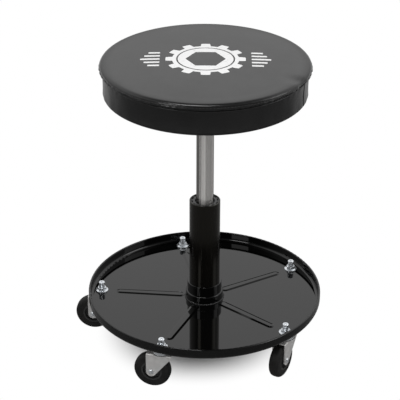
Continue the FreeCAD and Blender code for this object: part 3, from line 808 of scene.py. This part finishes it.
# How far each point moves outwards when the pad is blown up
def swelling(piece, look):
    held = piece.vertex_groups.new(name="held")
    heldZ = look["seamZ"] + look["shrink"] + look["voxel"] / 2
    held.add([vert.index for vert in piece.data.vertices if vert.co.z < heldZ], 1.0, "REPLACE")
    cloth = piece.modifiers.new("Cloth", "CLOTH")
    cloth.settings.use_pressure = True
    cloth.settings.uniform_pressure_force = look["pressure"]
    cloth.settings.effector_weights.gravity = 0
    cloth.settings.vertex_group_mass = "held"
    cloth.point_cache.frame_start = 1
    cloth.point_cache.frame_end = look["frames"]
    for step in range(1, look["frames"] + 1):
        scene.frame_set(step)
    depsgraph = bpy.context.evaluated_depsgraph_get()
    blown = [vert.co.copy() for vert in piece.evaluated_get(depsgraph).data.vertices]
    piece.modifiers.clear()
    piece.vertex_groups.clear()
    moves = []
    for vert, after in zip(piece.data.vertices, blown):
        moves.append(min((after - vert.co).dot(vert.normal), look["cap"]))
    scene.frame_set(1)
    return moves


def evened(mesh, values, passes):
    pairs = [tuple(edge.vertices) for edge in mesh.edges]
    counts = [1] * len(values)
    for first, second in pairs:
        counts[first] += 1
        counts[second] += 1
    for step in range(passes):
        sums = list(values)
        for first, second in pairs:
            sums[first] += values[second]
            sums[second] += values[first]
        values = [total / count for total, count in zip(sums, counts)]
    return values


# Unevenness of the swelling on the pad's top, kept with each point
def swell(piece, look):
    verts = piece.data.vertices
    moves = [0.0] * len(verts)
    moves = swelling(piece, look)
    lipZ = lipHeight(look)
    upper = [move for vert, move in zip(verts, moves) if vert.co.z > lipZ]
    even = sum(upper) / len(upper)
    print("cushion swelled by", round(even * 1000, 2), "mm on average")
    uneven = evened(piece.data, [move - even for move in moves], look["evening"])
    values = []
    for vert, move in zip(verts, uneven):
        inset = look["lipRadius"] - math.hypot(vert.co.x, vert.co.y)
        top = 1 - hump(max(inset, 0), look["reliefFade"]) if vert.co.z > lipZ else 0.0
        values.append(top * move)
    most = max(max(abs(value) for value in values), look["relief"])
    values = [value * look["relief"] / most for value in values]
    piece.data.attributes.new("relief", "FLOAT", "POINT").data.foreach_set("value", values)


# The pad fills its cover: every point lies on the even form, raised or sunk by its unevenness
def fillCover(piece, look):
    bm = spinLine(cushionLine(look, 0), look["coverSegments"])
    cover = BVHTree.FromBMesh(bm)
    bm.free()
    for vert, relief in zip(piece.data.vertices, piece.data.attributes["relief"].data):
        spot, normal = cover.find_nearest(vert.co)[:2]
        vert.co = spot + normal * relief.value


# Groove of the stitch line, gathers between it and the seam, and one dent beside the band's joint
def cushionSewing(point, look):
    away = math.hypot(point.x, point.y)
    rise = point.z - look["seamZ"]
    inset = look["lipRadius"] - away
    if rise <= 0 or inset >= look["sewnReach"]:
        return 0.0
    turn = turnOf(point)
    edge = hump(max(inset, 0), look["shoulderRadius"])
    groove = look["stitchGroove"] * hump(rise - look["stitchRise"], look["stitchWidth"]) * edge
    gather = look["pucker"] * unevenWave(turn, *look["puckerWave"])
    gather *= hump(rise - look["stitchRise"] / 2, look["puckerReach"]) * edge
    across = turnBetween(turn, look["dentTurn"]) * away
    dent = look["dentDepth"] * hump(across, look["dentWidth"])
    dent *= hump(inset - look["shoulderRadius"], look["dentReach"])
    return -groove + gather - dent


def makeCushion(look):
    bm = spinLine(cushionLine(look, look["shrink"]), look["segments"])
    piece = newPiece("seatCushion", bm, finishes["topVinyl"])
    remesh = piece.modifiers.new("Remesh", "REMESH")
    remesh.mode = "VOXEL"
    remesh.voxel_size = look["voxel"]
    bakedMesh(piece)
    swell(piece, look)
    bm = bmesh.new()
    bm.from_mesh(piece.data)
    for step in range(look["smoothing"]):
        bmesh.ops.smooth_vert(bm, verts=bm.verts, factor=0.5,
                              use_axis_x=True, use_axis_y=True, use_axis_z=True)
    bm.to_mesh(piece.data)
    bm.free()
    finer = piece.modifiers.new("Subdivision", "SUBSURF")
    finer.levels = 1
    finer.render_levels = 1
    bakedMesh(piece)
    fillCover(piece, look)
    pushOut(piece, look, cushionSewing)
    smoothed(piece)
    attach(piece, "seat")
    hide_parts("seat_top_panel", "seat_foam")
    return piece


cushionPiece = makeCushion(cushion)
print("cushion made,", len(cushionPiece.data.polygons), "faces")

band = {
    "radius": bandHigh.x,
    "topZ": bandHigh.z,
    "lowZ": bandLow.z,
    "thickness": 0.0014,
    "topRound": 0.0012,
    "topSteps": 4,
    "wallSteps": 16,
    "waistDraw": 0.0013,
    "footDraw": 0.0008,
    "footRound": 0.0035,
    "footSteps": 6,
    "turnUnder": 0.023,
    "innerFootSteps": 4,
    "innerWallSteps": 8,
    "segments": 900,
    "jointTurn": math.radians(-21),
    "jointWidth": 0.0012,
    "jointDepth": 0.0010,
    "lapHeight": 0.0006,  # the joint's upper layer stands out this much
    "lapReach": 0.008,
    "tackPull": 0.0004,
    "tackWave": (36, 2, 4),
    "gather": 0.00018,
    "gatherWave": (66, 3, 7),
    "gatherReach": 0.12,  # share of the band's height
    "wave": 0.0005,
    "waveScale": 5,
    "waveRise": 1.5,
}


def bandRadius(look, share, depth):
    drawn = look["footDraw"] * share + (look["waistDraw"] - look["footDraw"] / 2) * 4 * share * (1 - share)
    return look["radius"] - drawn - depth


def bandLine(look):
    thick = look["thickness"]
    high = look["topZ"] - look["topRound"]
    low = look["lowZ"] + look["footRound"]
    foot = look["radius"] - look["footDraw"]
    bend = (foot - look["footRound"], low)
    hem = foot - look["turnUnder"]
    count = look["wallSteps"]
    outer = arcPoints((look["radius"] - look["topRound"], high), look["topRound"], 90, 0, look["topSteps"])
    for step in range(1, count):
        outer.append((bandRadius(look, step / count, 0), high + (low - high) * step / count))
    outer += arcPoints(bend, look["footRound"], 0, -90, look["footSteps"])
    count = look["innerWallSteps"]
    inner = arcPoints(bend, look["footRound"] - thick, -90, 0, look["innerFootSteps"])
    for step in range(count - 1, -1, -1):
        inner.append((bandRadius(look, step / count, thick), high + (low - high) * step / count))
    inner.append((look["radius"] - 2 * thick, look["topZ"]))
    return outer + [(hem, look["lowZ"]), (hem, look["lowZ"] + thick)] + inner


# Upright joint with a lapped edge, pull of the staples at the foot, gathers under the lip
def bandSewing(point, look):
    away = math.hypot(point.x, point.y)
    share = (look["topZ"] - point.z) / (look["topZ"] - look["lowZ"])
    if away <= bandRadius(look, min(max(share, 0), 1), look["thickness"] / 2):
        return 0.0
    turn = turnOf(point)
    along = turnBetween(turn, look["jointTurn"]) * away
    joint = look["jointDepth"] * hump(along, look["jointWidth"])
    lap = look["lapHeight"] * math.exp(-along / look["lapReach"]) if along > 0 else 0.0
    tack = 0.5 + 0.5 * unevenWave(turn, *look["tackWave"])
    pull = look["tackPull"] * tack * share ** 2
    gather = look["gather"] * unevenWave(turn, *look["gatherWave"]) * hump(share, look["gatherReach"])
    wave = look["wave"] * drift(turn, look["waveScale"], share * look["waveRise"])
    return -joint + lap - pull + gather + wave


def makeBand(look):
    bm = spinLine(bandLine(look), look["segments"], closed=True)
    piece = newPiece("seatBand", bm, finishes["bandVinyl"])
    pushOut(piece, look, bandSewing)
    smoothed(piece)
    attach(piece, "seat")
    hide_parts("seat_side_band")
    return piece


bandPiece = makeBand(band)
print("band made,", len(bandPiece.data.polygons), "faces")

stitch = {
    "count": 198,
    "z": cushion["seamZ"] + cushion["stitchRise"],
    "halfLength": 0.0018,
    "radius": 0.00045,
    "sides": 6,
    "rings": 5,
    "start": cushion["lipRadius"] + 0.02,  # rays run inwards from here
}


# One short stitch after another, lying in the groove above the seam
def makeStitches(look, cloth):
    mesh = cloth.data
    cover = BVHTree.FromPolygons([vert.co for vert in mesh.vertices], [face.vertices for face in mesh.polygons])
    sized = Matrix.Diagonal((look["halfLength"], look["radius"], look["radius"], 1))
    bm = bmesh.new()
    for step in range(look["count"]):
        turn = math.tau * step / look["count"]
        outward = Vector((math.cos(turn), math.sin(turn), 0))
        along = Vector((-math.sin(turn), math.cos(turn), 0))
        start = outward * look["start"] + Vector((0, 0, look["z"]))
        spot, normal = cover.ray_cast(start, -outward)[:2]
        turned = Matrix((along, normal, along.cross(normal))).transposed().to_4x4()
        bmesh.ops.create_uvsphere(bm, u_segments=look["sides"], v_segments=look["rings"], radius=1.0,
                                  matrix=Matrix.Translation(spot) @ turned @ sized)
    bmesh.ops.recalc_face_normals(bm, faces=bm.faces)
    piece = newPiece("seatStitches", bm, finishes["thread"])
    smoothed(piece)
    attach(piece, "seat")


makeStitches(stitch, cushionPiece)
print("stitches made,", stitch["count"])

# Base

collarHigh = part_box("hub_collar")[1]
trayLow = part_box("tool_tray")[0]

weld = {
    "radius": collarHigh.x,
    "floorZ": trayLow.z + 0.0015,  # tray sheet
    "size": 0.0023,
    "sunk": 0.0005,
    "arc": (-8, 98, 8),  # from and to, in degrees, and steps
    "segments": 360,
    "ripple": 0.0003,
    "rippleWave": (74, 4, 3),
    "wander": 0.0004,
    "wanderScale": 6,
}


# Weld bead round the collar's foot
def makeWeld(look):
    middle = (look["radius"] - look["sunk"], look["floorZ"] - look["sunk"])
    bm = spinLine([middle] + arcPoints(middle, look["size"], *look["arc"]), look["segments"], closed=True)
    for vert in bm.verts:
        turn = turnOf(vert.co)
        swollen = look["ripple"] * unevenWave(turn, *look["rippleWave"])
        swollen += look["wander"] * drift(turn, look["wanderScale"])
        out = Vector((math.hypot(vert.co.x, vert.co.y) - middle[0], vert.co.z - middle[1]))
        if out.length > look["sunk"]:
            out *= swollen / out.length
            vert.co += Vector((out.x * math.cos(turn), out.x * math.sin(turn), out.y))
    piece = newPiece("collarWeld", bm, finishes["gloss"])
    smoothed(piece)
    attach(piece, "base")


makeWeld(weld)
print("weld made")
